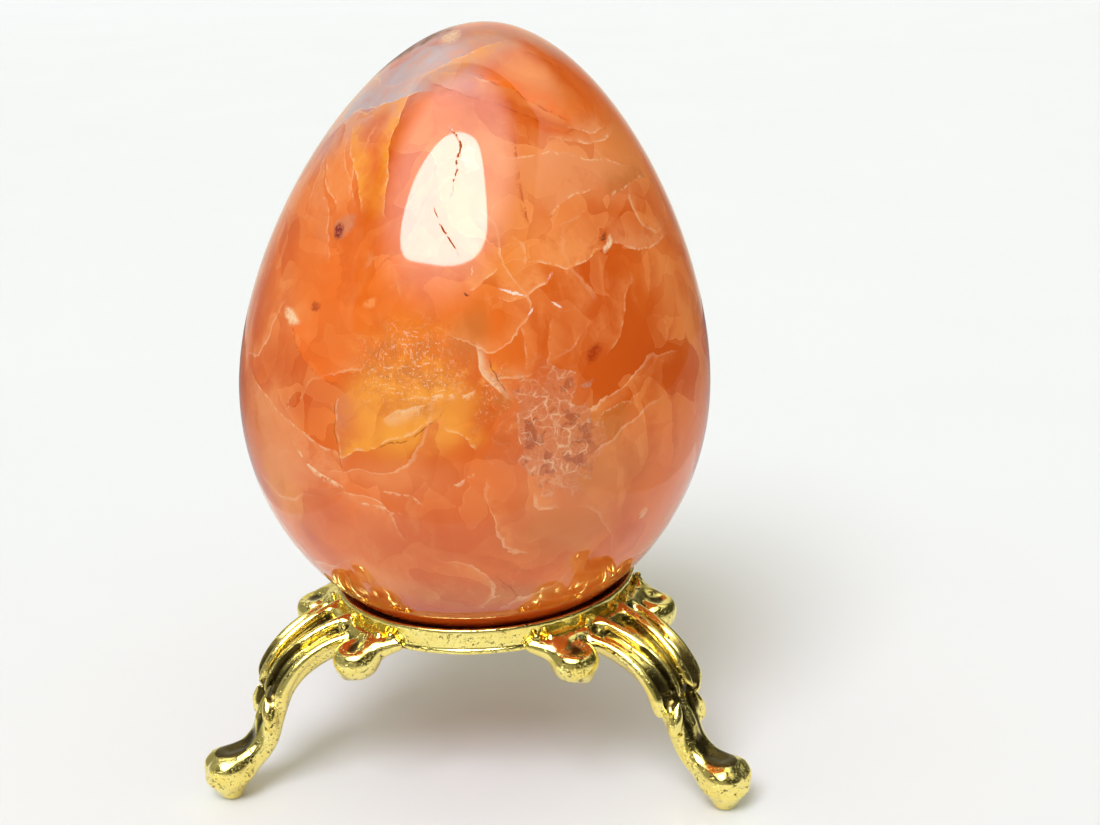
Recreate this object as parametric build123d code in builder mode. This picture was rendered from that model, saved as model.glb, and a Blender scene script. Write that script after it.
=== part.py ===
"""A polished stone egg resting loose in a small three-legged stand, in millimetres and degrees."""

import os
from math import cos, radians, sin, sqrt, tan

from build123d import *

os.makedirs("parts", exist_ok=True)

# Egg: a half ellipse below its widest circle and one smooth curve up to the tip
egg_radius = 24.3
egg_blunt_length = 26.0
egg_pointed_length = 37.1
egg_tip_breadth = 11.85
egg_lean = 5.75
egg_lean_bearing = 11.0

# Ring that carries the egg
ring_radius = 16.1
ring_top = 19.8
ring_depth = 2.65
ring_bore_radius = 13.6
ring_lower_rounding = 0.8
ring_lip_rounding = 0.25
seat_radius = 14.3
seat_drop = 0.55
seat_clearance = 0.04

# Leg: where the middle line starts inside the ring's wall, then reach from the axis and height above the table
leg_root_inset = 1.0
leg_root_height = 16.6
knee_reach = 22.6
knee_height = 14.1
ankle_reach = 25.6
ankle_height = 6.9
instep_reach = 27.6
instep_height = 4.1
toe_reach = 30.9
toe_height = 3.5
leg_bearings = {"leg_front_left": 210.0, "leg_front_right": 330.0, "leg_rear": 90.0}

# Leg sections: half width across the leg and half depth through it
root_half_width = 3.6
knee_half_width = 3.3
ankle_half_width = 1.75
root_half_depth = 1.95
knee_half_depth = 1.95
ankle_half_depth = 1.5
toe_neck_radius = 1.65
toe_radius = 1.8
flute_hollow = 0.45
section_count = 15

# Foot: a ball under the toe that narrows to a small flat pad
pad_reach = 29.6
pad_radius = 0.8
foot_radius = 1.95
foot_height = 2.7
foot_cone_height = 1.9

# Shoulder that follows the ring, with a dished ear near each end
shoulder_reach = 17.8
shoulder_height = 2.2
shoulder_middle = 17.3
shoulder_rounding = 0.7
shoulder_bearing = 17.0
ear_bearing = 22.5
ear_reach = 18.6
ear_height = 16.5
ear_radius = 2.4
ear_rim_rise = 1.5
ear_rim_width = 0.4
ear_tip_fall = 2.9
ear_tip_radius = 0.45
ear_cone_radius = 2.0
dish_depth = 1.0

# Leaves that swell along the leg's edges and end in round tips below the knee
leaf_starts = (0.3, 0.44)
leaf_ends = (0.5, 0.61)
leaf_start_radius = 0.3
leaf_tip_radius = 0.75


def between(first, last, share):
    """Smooth change from the first size to the last as share goes from 0 to 1."""
    share = min(max(share, 0), 1)
    return first + (last - first) * share * share * (3 - 2 * share)


def ellipse_arc(half_width, half_depth, start, end, hollow):
    """Cubic along an ellipse between two angles, its middle drawn in to the centre by the share hollow."""
    first, last = radians(start), radians(end)
    handle = 4 / 3 * tan((last - first) / 4)
    inward = 1 - hollow
    points = [(cos(first), sin(first))]
    points.append((inward * (cos(first) - handle * sin(first)), inward * (sin(first) + handle * cos(first))))
    points.append((inward * (cos(last) + handle * sin(last)), inward * (sin(last) - handle * cos(last))))
    points.append((cos(last), sin(last)))
    return [(half_width * x, half_depth * y) for x, y in points]


# Where the egg touches the ring
seat_height = ring_top - seat_drop
contact_fall = egg_blunt_length * sqrt(1 - (seat_radius / egg_radius) ** 2)
seat_slope = seat_radius * egg_blunt_length**2 / (contact_fall * egg_radius**2)
pivot_fall = contact_fall * (1 - egg_radius**2 / egg_blunt_length**2)
pivot_height = seat_height + contact_fall - pivot_fall + seat_clearance

# The origin is under the middle of the whole part, so the ring's axis stands a little in front of it
axis_offset = (egg_radius - toe_reach - toe_radius) / 2
stand_axis = Axis((0, axis_offset, 0), (0, 0, 1))

# Egg, turned about its own leaning axis
lean_x = sin(radians(egg_lean)) * cos(radians(egg_lean_bearing))
lean_y = sin(radians(egg_lean)) * sin(radians(egg_lean_bearing))
egg_up = Vector(lean_x, lean_y, cos(radians(egg_lean)))
egg_middle = Vector(0, axis_offset, pivot_height) + egg_up * pivot_fall
egg_side = Vector(0, 1, 0).cross(egg_up).normalized()
egg_plane = Plane(egg_middle, x_dir=egg_side, z_dir=egg_side.cross(egg_up))
egg_shoulder = egg_blunt_length * sqrt(2 / 3 * (1 - egg_tip_breadth / egg_radius))
with BuildPart() as egg:
    with BuildSketch(egg_plane):
        with BuildLine():
            tip = (0, egg_pointed_length)
            lower_curve = Bezier(*ellipse_arc(egg_radius, egg_blunt_length, 270, 360, 0))
            Bezier(lower_curve @ 1, (egg_radius, egg_shoulder), (egg_tip_breadth, egg_pointed_length), tip)
            Line(tip, lower_curve @ 0)
        make_face()
    revolve(axis=Axis(egg_middle, egg_up))
egg.part.label = "egg"
export_step(egg.part, "parts/egg.step")

# Seat ring, with a conical seat that meets the egg along one circle
ring_plane = Plane((0, axis_offset, 0), x_dir=(1, 0, 0), z_dir=(0, -1, 0))
ring_bottom = ring_top - ring_depth
seat_outer_radius = seat_radius + seat_drop / seat_slope
seat_foot = seat_height - (seat_radius - ring_bore_radius) * seat_slope
with BuildPart() as seat_ring:
    with BuildSketch(ring_plane):
        with BuildLine():
            Polyline(
                (ring_bore_radius, ring_bottom),
                (ring_radius, ring_bottom),
                (ring_radius, ring_top),
                (seat_outer_radius, ring_top),
                (ring_bore_radius, seat_foot),
                close=True,
            )
        make_face()
    revolve(axis=stand_axis)
    outer_edges = seat_ring.edges().filter_by(GeomType.CIRCLE).sort_by(SortBy.RADIUS)[-2:].sort_by(Axis.Z)
    fillet(outer_edges[0], radius=ring_lower_rounding)
    lip_edges = seat_ring.edges().filter_by(GeomType.CIRCLE).group_by(Axis.Z)[-1].sort_by(SortBy.RADIUS)
    fillet(lip_edges[-1], radius=ring_lip_rounding)
seat_ring.part.label = "seat_ring"
export_step(seat_ring.part, "parts/seat_ring.step")


def leg_half_sizes(share):
    """Half width and half depth of the leg at a share of its length."""
    sizes = [
        (0, root_half_width, root_half_depth),
        (knee_share, knee_half_width, knee_half_depth),
        (ankle_share, ankle_half_width, ankle_half_depth),
        (1, toe_neck_radius, toe_neck_radius),
    ]
    for (first, width, depth), (last, next_width, next_depth) in zip(sizes, sizes[1:]):
        if share <= last:
            part_way = (share - first) / (last - first)
            return between(width, next_width, part_way), between(depth, next_depth, part_way)


# Leg pattern, built along +X with the ring's axis at the origin
knee_share = 0.4
ankle_share = 0.68
ridge_angles = [15, 65, 115, 165]
back_angles = [165, 235, 305, 375]
with BuildLine(Plane.XZ) as leg_line:
    Spline(
        (ring_radius - leg_root_inset, leg_root_height),
        (knee_reach, knee_height),
        (ankle_reach, ankle_height),
        (instep_reach, instep_height),
        (toe_reach, toe_height),
        tangents=((1, -0.1), (1, 0.2)),
    )


def leg_plane(share):
    """Plane across the leg's middle line, its X along the leg's width and its Y towards the fluted face."""
    return Plane(leg_line.line @ share, x_dir=(0, 1, 0), z_dir=leg_line.line % share)


def upright_plane(bearing, reach):
    """Upright plane facing along the ring, its X pointing away from the ring's axis on the given bearing."""
    outward = Vector(1, 0, 0).rotate(Axis.Z, bearing)
    return Plane(outward * reach, x_dir=outward, z_dir=outward.cross(Vector(0, 0, 1)))


def outer_ridge(share, side):
    """Point on the leg's outer ridge at a share of its length, on one side or the other."""
    half_width, half_depth = leg_half_sizes(share)
    across, out = ellipse_arc(half_width, half_depth, ridge_angles[0], ridge_angles[1], 0)[0]
    return leg_plane(share).from_local_coords(Vector(side * across, out, 0))


# Cone under the foot's ball, and the ear's outline: both widths follow the balls that they run into
foot_cone_radius = sqrt(foot_radius**2 - (foot_height - foot_cone_height) ** 2)
tip_height = ear_height - ear_tip_fall
cone_top = (ear_cone_radius, ear_height - sqrt(ear_radius**2 - ear_cone_radius**2))
rim_height = ear_height + ear_rim_rise
rim_outside = (sqrt(ear_radius**2 - ear_rim_rise**2), rim_height)
rim_inside = (rim_outside[0] - ear_rim_width, rim_height)
dish_bottom = (0, rim_height - dish_depth)
dish_radius = (rim_inside[0] ** 2 + dish_depth**2) / (2 * dish_depth)
with BuildPart() as leg:
    # fluted body, from inside the ring's wall to the middle of the toe
    for number in range(section_count):
        share = number / (section_count - 1)
        half_width, half_depth = leg_half_sizes(share)
        hollow = between(flute_hollow, 0, (share - knee_share) / (ankle_share - knee_share))
        with BuildSketch(leg_plane(share)):
            with BuildLine():
                for start, end in zip(ridge_angles, ridge_angles[1:]):
                    Bezier(*ellipse_arc(half_width, half_depth, start, end, hollow))
                for start, end in zip(back_angles, back_angles[1:]):
                    Bezier(*ellipse_arc(half_width, half_depth, start, end, 0))
            make_face()
    loft()
    # rounded toe, and the foot under it
    with Locations((toe_reach, 0, toe_height)):
        Sphere(toe_radius)
    with Locations((pad_reach, 0, foot_height)):
        Sphere(foot_radius)
    with Locations((pad_reach, 0, foot_cone_height / 2)):
        Cone(bottom_radius=pad_radius, top_radius=foot_cone_radius, height=foot_cone_height)
    # leaves lying along the outer ridges
    for first, last in zip(leaf_starts, leaf_ends):
        for side in (-1, 1):
            root = outer_ridge(first, side)
            tip = outer_ridge(last, side)
            with Locations(Plane((root + tip) / 2, z_dir=tip - root)):
                Cone(leaf_start_radius, leaf_tip_radius, (tip - root).length)
            with Locations(tip):
                Sphere(leaf_tip_radius)
    # shoulder along the ring
    with BuildSketch(upright_plane(-shoulder_bearing, 0)):
        with Locations((ring_radius, shoulder_middle)):
            RectangleRounded(2 * (shoulder_reach - ring_radius), shoulder_height, shoulder_rounding)
    revolve(axis=Axis.Z, revolution_arc=2 * shoulder_bearing)
    # ears: a bud with a flat rim around a round dish, turned about an upright axis
    for bearing in (-ear_bearing, ear_bearing):
        ear_plane = upright_plane(bearing, ear_reach)
        with BuildSketch(ear_plane):
            with BuildLine():
                Line((0, tip_height), (ear_tip_radius, tip_height))
                Line((ear_tip_radius, tip_height), cone_top)
                ThreePointArc(cone_top, (ear_radius, ear_height), rim_outside)
                Line(rim_outside, rim_inside)
                RadiusArc(rim_inside, dish_bottom, dish_radius)
                Line(dish_bottom, (0, tip_height))
            make_face()
        revolve(axis=Axis(ear_plane.origin, (0, 0, 1)))
    # the ring's own room
    Cylinder(ring_radius, 2 * ring_top, mode=Mode.SUBTRACT)
leg.part.label = "leg"

for name, bearing in leg_bearings.items():
    with BuildPart() as placed_leg:
        with Locations(Location((0, axis_offset, 0), (0, 0, bearing))):
            add(leg.part, clean=False)
    placed_leg.part.label = name
    export_step(placed_leg.part, f"parts/{name}.step")
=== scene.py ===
"""Looks of a polished stone egg in its gilt three-legged stand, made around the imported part."""

from math import cos, pi, radians, sin

import bmesh
import bpy
import numpy as np
from mathutils import Matrix, Vector, noise


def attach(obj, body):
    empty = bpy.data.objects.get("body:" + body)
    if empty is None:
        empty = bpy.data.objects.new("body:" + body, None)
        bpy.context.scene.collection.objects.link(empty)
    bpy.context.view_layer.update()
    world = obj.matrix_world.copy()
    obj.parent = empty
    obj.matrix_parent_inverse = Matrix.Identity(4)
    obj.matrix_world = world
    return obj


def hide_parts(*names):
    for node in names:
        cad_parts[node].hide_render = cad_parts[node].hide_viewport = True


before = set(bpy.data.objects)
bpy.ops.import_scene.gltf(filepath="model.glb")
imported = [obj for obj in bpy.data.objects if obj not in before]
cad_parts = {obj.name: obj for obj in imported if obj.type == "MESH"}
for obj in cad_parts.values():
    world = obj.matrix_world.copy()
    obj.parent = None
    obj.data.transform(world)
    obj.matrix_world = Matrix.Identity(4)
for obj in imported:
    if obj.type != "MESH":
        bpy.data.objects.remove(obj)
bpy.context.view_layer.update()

# Shapes below are worked out in millimetres, in the part's frame, and scaled when a mesh is made
mm = 0.001
ring_axis = np.array([0.0, -4.2, 0.0])
leg_bearings = {"leg_front_left": 210, "leg_front_right": 330, "leg_rear": 90}


# Materials: short names for making and joining nodes


def light(red, green, blue):
    """A screen colour, each part from 0 to 255, as linear light with full alpha."""
    parts = [value / 255 for value in (red, green, blue)]
    return [v / 12.92 if v <= 0.04045 else ((v + 0.055) / 1.055) ** 2.4 for v in parts] + [1.0]


class Graph:
    """A material and the calls that add nodes to it."""

    def __init__(self, name):
        self.material = bpy.data.materials.new(name)
        self.material.use_nodes = True
        self.tree = self.material.node_tree
        self.shader = self.tree.nodes["Principled BSDF"]
        self.place = self.vector("SCALE", self.add("ShaderNodeTexCoord").outputs["Object"], scale=1 / mm)

    def feed(self, socket, value):
        """Joins another node's output to a socket, or sets the socket's own value."""
        if isinstance(value, bpy.types.NodeSocket):
            self.tree.links.new(value, socket)
        else:
            socket.default_value = value

    def add(self, kind, inputs=None, **settings):
        """A new node with these inputs, by name or number, and these settings."""
        node = self.tree.nodes.new(kind)
        for name, value in settings.items():
            setattr(node, name, value)
        for key, value in (inputs or {}).items():
            self.feed(node.inputs[key], value)
        return node

    def math(self, operation, *values):
        return self.add("ShaderNodeMath", dict(enumerate(values)), operation=operation).outputs[0]

    def vector(self, operation, *values, scale=None):
        inputs = dict(enumerate(values))
        if scale is not None:
            inputs["Scale"] = scale
        node = self.add("ShaderNodeVectorMath", inputs, operation=operation)
        return node.outputs["Value" if operation in ("DOT_PRODUCT", "LENGTH", "DISTANCE") else "Vector"]

    def span(self, value, low, high, first=0.0, last=1.0):
        """First at low, last at high, and a smooth change between them."""
        inputs = {"Value": value, "From Min": low, "From Max": high, "To Min": first, "To Max": last}
        return self.add("ShaderNodeMapRange", inputs, interpolation_type="SMOOTHSTEP").outputs[0]

    def mix(self, share, first, second):
        return self.add("ShaderNodeMix", {0: share, 6: first, 7: second}, data_type="RGBA").outputs[2]

    def noise(self, place, scale, detail=2.0, roughness=0.5, output="Fac"):
        inputs = {"Vector": place, "Scale": scale, "Detail": detail, "Roughness": roughness}
        return self.add("ShaderNodeTexNoise", inputs).outputs[output]

    def cells(self, place, scale, feature="F1", output="Distance"):
        node = self.add("ShaderNodeTexVoronoi", {"Vector": place, "Scale": scale}, feature=feature)
        return node.outputs[output]

    def shifted(self, place, scale, reach):
        """The place moved about by noise, up to half of reach each way."""
        drift = self.vector("SUBTRACT", self.noise(place, scale, output="Color"), (0.5, 0.5, 0.5))
        return self.vector("ADD", place, self.vector("SCALE", drift, scale=reach))

    def bump(self, height, distance, strength, normal=None):
        inputs = {"Height": height, "Distance": distance, "Strength": strength}
        if normal is not None:
            inputs["Normal"] = normal
        return self.add("ShaderNodeBump", inputs).outputs[0]


def mesh_object(name, points, faces, material):
    """A smooth-shaded mesh from points in mm and rows of point numbers."""
    mesh = bpy.data.meshes.new(name)
    mesh.from_pydata((np.asarray(points) * mm).tolist(), [], np.asarray(faces).tolist())
    mesh.shade_smooth()
    mesh.materials.append(material)
    thing = bpy.data.objects.new(name, mesh)
    bpy.context.scene.collection.objects.link(thing)
    return thing


def dress(thing, body, node):
    """Makes a piece stand for a CAD node on its body."""
    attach(thing, body)
    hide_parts(node)


# Egg: its own axes, and the outline of half an ellipse and a cubic

egg_radius = 24.29
egg_blunt_length = 25.99
egg_pointed_length = 37.09
egg_tip_breadth = 11.85
egg_shoulder = 15.2
egg_middle = np.array([0.2615, -4.149, 40.297])
egg_up = np.array([0.09835, 0.01912, 0.99497])
egg_front = np.array([0.15675, -0.98757, 0.00349])
egg_front -= egg_up * (egg_front @ egg_up)
egg_front /= np.linalg.norm(egg_front)
egg_right = np.cross(egg_up, egg_front)


def egg_outline(share):
    """Reach from the axis and height over the widest circle, from the blunt end at -1 to the tip at 1."""
    low = np.minimum(share, 0) * pi / 2
    t = np.maximum(share, 0)
    first = (1 - t) ** 3
    second = 3 * t * (1 - t) ** 2
    third = 3 * t**2 * (1 - t)
    reach = first * egg_radius + second * egg_radius + third * egg_tip_breadth
    height = second * egg_shoulder + (third + t**3) * egg_pointed_length
    return reach * np.cos(low), height + egg_blunt_length * np.sin(low)


outline_shares = np.linspace(-1, 1, 2001)
outline_reach, outline_height = egg_outline(outline_shares)


def egg_spot(bearing, height):
    """The point on the egg at a bearing and a height, with its directions east, north and out."""
    side = egg_front * cos(radians(bearing)) + egg_right * sin(radians(bearing))
    number = int(np.searchsorted(outline_height, height))
    number = min(max(number, 1), len(outline_height) - 2)
    run = outline_reach[number + 1] - outline_reach[number - 1]
    rise = outline_height[number + 1] - outline_height[number - 1]
    north = side * run + egg_up * rise
    north /= np.linalg.norm(north)
    east = np.cross(egg_up, side)
    point = egg_middle + side * outline_reach[number] + egg_up * height
    return point, east, north, np.cross(east, north)


stone = {
    "orange": light(238, 118, 40),
    "vivid": light(246, 114, 24),
    "deep": light(212, 88, 20),
    "scarlet": light(200, 72, 16),
    "amber": light(246, 140, 40),
    "honey": light(250, 166, 62),
    "apricot": light(248, 154, 86),
    "peach": light(240, 150, 94),
    "tan": light(208, 118, 54),
    "pink": light(214, 126, 84),
    "rose": light(198, 142, 114),
    "lavender": light(198, 178, 178),
    "cream": light(252, 212, 166),
    "scratch_glint": light(255, 240, 224),
    "blood": light(160, 44, 12),
    "plum": light(126, 30, 34),
    "rind": light(100, 48, 30),
}
stone_depth = 0.85
stone = {name: [stone_depth * part for part in colour[:3]] + [1.0] for name, colour in stone.items()}

# Soft patches: bearing, height, half length, half width and turn, then colour and strength
patches = [
    (22, -7.0, 10.0, 7.0, 0, "tan", 0.75),
    (-10, -9.0, 12.0, 6.0, 10, "deep", 0.7),
    (3, -16.0, 11.0, 3.6, 0, "tan", 0.8),
    (-53, -5.1, 8.6, 5.3, -77, "honey", 0.7),
    (32, 0.0, 8.5, 6.6, -24, "tan", 0.85),
    (-50, 33.2, 13.0, 9.0, -114, "lavender", 0.98),
    (-74, 27.5, 9.0, 6.0, -100, "lavender", 0.9),
    (1, 36.3, 5.5, 3.6, 14, "rose", 0.9),
    (66, 35.4, 5.2, 3.0, -83, "rose", 0.6),
    (39, 25.6, 8.5, 5.5, -8, "peach", 0.95),
    (60, 26.4, 5.5, 3.6, -92, "tan", 0.7),
    (26, 33.2, 5.0, 2.8, -36, "apricot", 0.7),
    (19.2, 30.2, 6.6, 1.3, -29, "deep", 0.85),
    (28.1, 28.6, 3.8, 0.8, -28, "vivid", 0.8),
    (-24, 29.5, 5.0, 3.2, -127, "vivid", 0.8),
    (-29, 16.5, 9.0, 6.5, -161, "vivid", 0.8),
    (10, 18.0, 5.5, 4.0, 21, "amber", 0.75),
    (-47, 4.3, 7.5, 5.2, -20, "scarlet", 0.7),
    (31, 11.5, 13.0, 11.0, -6, "deep", 0.95),
    (49, 7.4, 6.5, 4.6, -16, "scarlet", 0.7),
    (16, 2.0, 9.0, 7.0, -60, "pink", 0.6),
    (-16, 3.4, 8.5, 6.2, 6, "honey", 0.95),
    (-17, 9.6, 7.0, 4.0, 14, "amber", 0.7),
    (-2, 11.5, 4.2, 2.6, 85, "tan", 0.75),
    (-15, -2.1, 7.5, 3.5, 3, "apricot", 0.8),
    (150, 14.0, 12.0, 7.0, 30, "scarlet", 0.7),
    (200, 2.0, 9.0, 6.0, -40, "honey", 0.8),
    (110, -4.0, 10.0, 6.0, 15, "tan", 0.8),
    (-110, 12.0, 10.0, 6.0, 60, "deep", 0.8),
    (185, 26.0, 9.0, 5.0, 10, "peach", 0.8),
    (-95, 28.0, 7.0, 4.0, 0, "apricot", 0.8),
    (-150, -6.0, 10.0, 6.0, -20, "pink", 0.8),
]

# Clear patches, over the plates, in the same order of values
clear_patches = [
    (-15, 5.0, 8.0, 5.4, 5, "honey", 0.65),
    (-50, -1.5, 7.0, 4.5, -60, "peach", 0.65),
    (26, 1.0, 4.0, 5.5, 0, "tan", 0.6),
]

# Small marks, in the same order of values
marks = [
    (-41, 19.8, 2.0, 1.3, 37, "rose", 0.5),
    (-43, 19.2, 1.0, 0.8, 55, "plum", 0.95),
    (-9, 23.2, 0.45, 0.3, 70, "rind", 0.95),
    (27, 9.5, 1.1, 0.9, 6, "blood", 0.7),
    (-42, 11.7, 0.8, 0.6, 29, "blood", 0.7),
    (-50, 10.3, 1.9, 1.0, -25, "cream", 0.95),
    (-50, 35.9, 2.2, 1.3, 97, "cream", 0.7),
    (36, 19.0, 0.9, 0.45, 48, "cream", 0.95),
    (-27, 13.6, 1.0, 0.8, 9, "apricot", 0.8),
    # the next four are thin scratches, whitened with a painted glint
    (8, 15.1, 1.5, 0.16, -14, "scratch_glint", 0.85),
    (17.4, 16.2, 0.85, 0.16, -122, "scratch_glint", 0.85),
    (18.5, 14.3, 0.63, 0.2, -28, "scratch_glint", 0.85),
    (12.5, 13.3, 0.73, 0.13, 53, "scratch_glint", 0.8),
    (25.6, 7.0, 1.1, 0.35, 14, "rose", 0.8),
    (-4.4, 15.1, 0.37, 0.14, -26, "rind", 0.9),
    (34.9, 19.6, 0.48, 0.25, 38, "rind", 0.95),
    (-2.5, 17.2, 0.6, 0.1, -83, "cream", 0.8),
    (-20.3, 7.1, 0.25, 0.2, -36, "rind", 0.9),
    (128, 8.0, 1.4, 1.1, 0, "blood", 0.7),
    (-128, 20.0, 2.2, 1.2, 40, "cream", 0.7),
]

# Fracture edges: bearing and height of the middle, the way the sharp side faces, the curve's radius with its
# sign, half the length, how far the colour fades behind the edge, then colour and strength
veils = [
    (-36, 32.9, 142, -25, 8.1, 3.0, "honey", 0.6),
    (19, 31.5, -130, 60, 5.7, 3.0, "vivid", 0.8),
    (6, 30.9, 66, -60, 7.0, 3.0, "deep", 0.75),
    (46, 34.0, 38, -60, 2.5, 1.4, "deep", 0.6),
    (-35, 27.1, 12, -60, 6.9, 2.2, "honey", 0.8),
    (-35, 27.1, -168, 60, 6.9, 2.0, "deep", 0.6),
    (12, 24.6, 3, -13, 4.0, 0.7, "deep", 0.7),
    (34, 26.3, 85, -48, 6.7, 6.0, "peach", 0.95),
    (29, 22.9, -68, -11, 2.8, 4.0, "peach", 0.95),
    (55, 23.8, -81, -15, 3.5, 3.0, "tan", 0.95),
    (45, 28.4, -88, 5, 2.7, 3.0, "peach", 0.95),
    (44, 27.5, -85, 8, 4.2, 1.4, "peach", 0.95),
    (12, 14.8, -69, 6, 2.6, 4.0, "apricot", 0.95),
    (25, 17.6, -78, 10, 3.6, 5.0, "apricot", 0.95),
    (51, 17.8, -97, 12, 5.5, 3.5, "peach", 0.8),
    (1, 16.1, -59, 11, 1.8, 3.0, "apricot", 0.85),
    (13, 18.8, 16, 4, 2.0, 2.5, "apricot", 0.5),
    (38, 12.4, -35, 25, 4.1, 2.5, "apricot", 0.45),
    (16, 10.7, 168, 18, 2.1, 1.6, "apricot", 0.45),
    (11, 10.7, -179, -17, 2.3, 1.4, "apricot", 0.45),
    (-41, 6.7, -118, 10, 4.2, 5.0, "vivid", 0.7),
    (-48, 1.1, 73, -52, 7.7, 8.0, "peach", 0.85),
    (-32, 1.8, -174, 18, 2.9, 3.0, "pink", 0.75),
    (-20, 0.9, -61, 17, 5.0, 2.5, "honey", 0.85),
    (-17, 4.5, 131, 5, 1.7, 1.5, "cream", 0.55),
    (-8, 6.3, 98, -16, 2.8, 1.0, "cream", 0.65),
    (-3, 2.3, -117, -5, 2.0, 2.0, "honey", 0.7),
    (2, 7.9, -153, 11, 3.0, 1.3, "cream", 0.8),
    (33, 4.7, 98, 5, 2.2, 7.0, "tan", 0.75),
    (-37, -2.7, 61, 60, 3.3, 0.8, "cream", 0.8),
    (-52, 20.6, 43, 24, 5.5, 3.0, "peach", 0.5),
    (-51, 24.3, 41, -19, 4.2, 2.5, "apricot", 0.5),
    (-56.7, 22.3, -125, 60, 3.6, 2.2, "apricot", 0.8),
    (-47.2, 24.4, -139, 60, 4.6, 2.4, "honey", 0.75),
    (-55.0, 29.6, -63, 60, 6.0, 7.0, "lavender", 0.95),
    (-22, -5.7, 88, 10, 2.2, 0.5, "cream", 0.5),
    (-2, -2.1, 121, -11, 1.6, 0.5, "cream", 0.5),
    (-16, -4.0, 76, 5, 2.2, 0.4, "cream", 0.4),
    (170, 16.0, -100, 14, 6.0, 4.0, "apricot", 0.7),
    (120, 22.0, 70, 20, 6.0, 3.0, "peach", 0.7),
    (-120, 2.0, -60, 18, 7.0, 4.0, "honey", 0.7),
    (215, 8.0, 20, -25, 6.0, 3.0, "cream", 0.5),
    (-85, 10.0, 150, 15, 5.0, 3.0, "apricot", 0.6),
    (85, 12.0, -70, 12, 5.0, 3.0, "apricot", 0.6),
]

# Open hairline cracks, in the veils' order of values
cracks = [
    (-10, 26.1, 14, 37, 3.1, 0.18, "rind", 0.9),
    (-10, 20.4, 29, 22, 2.3, 0.18, "rind", 0.9),
    (5, 7.7, 21, -32, 2.2, 0.16, "rind", 0.9),
    (-16, 1.6, -58, 14, 4.2, 0.14, "rind", 0.8),
    (-32, 0.7, 9, -12, 3.6, 0.12, "rind", 0.7),
    (11, -14.4, 31, -8, 2.2, 0.12, "rind", 0.6),
    (160, 12.0, 10, 30, 4.0, 0.12, "rind", 0.7),
    (-140, 4.0, 60, 20, 3.5, 0.12, "rind", 0.7),
]


def patch_share(graph, place, patch, inner):
    """1 inside the inner share of an oval patch on the egg, falling to 0 at its edge."""
    bearing, height, half_length, half_width, turn, colour, strength = patch
    point, east, north, out = egg_spot(bearing, height)
    along = east * cos(radians(turn)) + north * sin(radians(turn))
    across = np.cross(out, along)
    axes = Matrix((along, across, out)).transposed()
    depth = max(half_length, half_width)
    inputs = {
        "Vector": place,
        "Location": point.tolist(),
        "Rotation": tuple(axes.to_euler()),
        "Scale": (half_length, half_width, depth),
    }
    local = graph.add("ShaderNodeMapping", inputs, vector_type="TEXTURE").outputs[0]
    return graph.span(graph.vector("LENGTH", local), 1.0, inner, 0.0, strength)


rim_width = 0.32
narrow_fade = 1.1


def veil_share(graph, place, veil, edge):
    """Share of a curved fracture, sharp on one side and fading on the other, then of its narrow rim."""
    bearing, height, facing, bend, half_length, fade, colour, strength = veil
    point, east, north, out = egg_spot(bearing, height)
    towards = east * cos(radians(facing)) + north * sin(radians(facing))
    arm = graph.vector("SUBTRACT", place, (point - towards * bend).tolist())
    reach = graph.vector("LENGTH", arm)
    sign = 1 if bend > 0 else -1
    ends = (abs(bend), reach) if bend > 0 else (reach, abs(bend))
    behind = graph.math("SUBTRACT", *ends)
    turned = graph.math("DIVIDE", graph.vector("DOT_PRODUCT", arm, (towards * sign).tolist()), reach)
    spread = half_length / abs(bend)
    length_share = graph.span(turned, cos(spread * 1.2), cos(spread * 0.6), 0.0, strength)
    sharp = graph.math("MULTIPLY", length_share, graph.span(behind, -edge, edge))
    rim = graph.math("MULTIPLY", sharp, graph.span(behind, rim_width, 0.0))
    return graph.math("MULTIPLY", sharp, graph.span(behind, fade, 0.0)), rim


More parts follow.
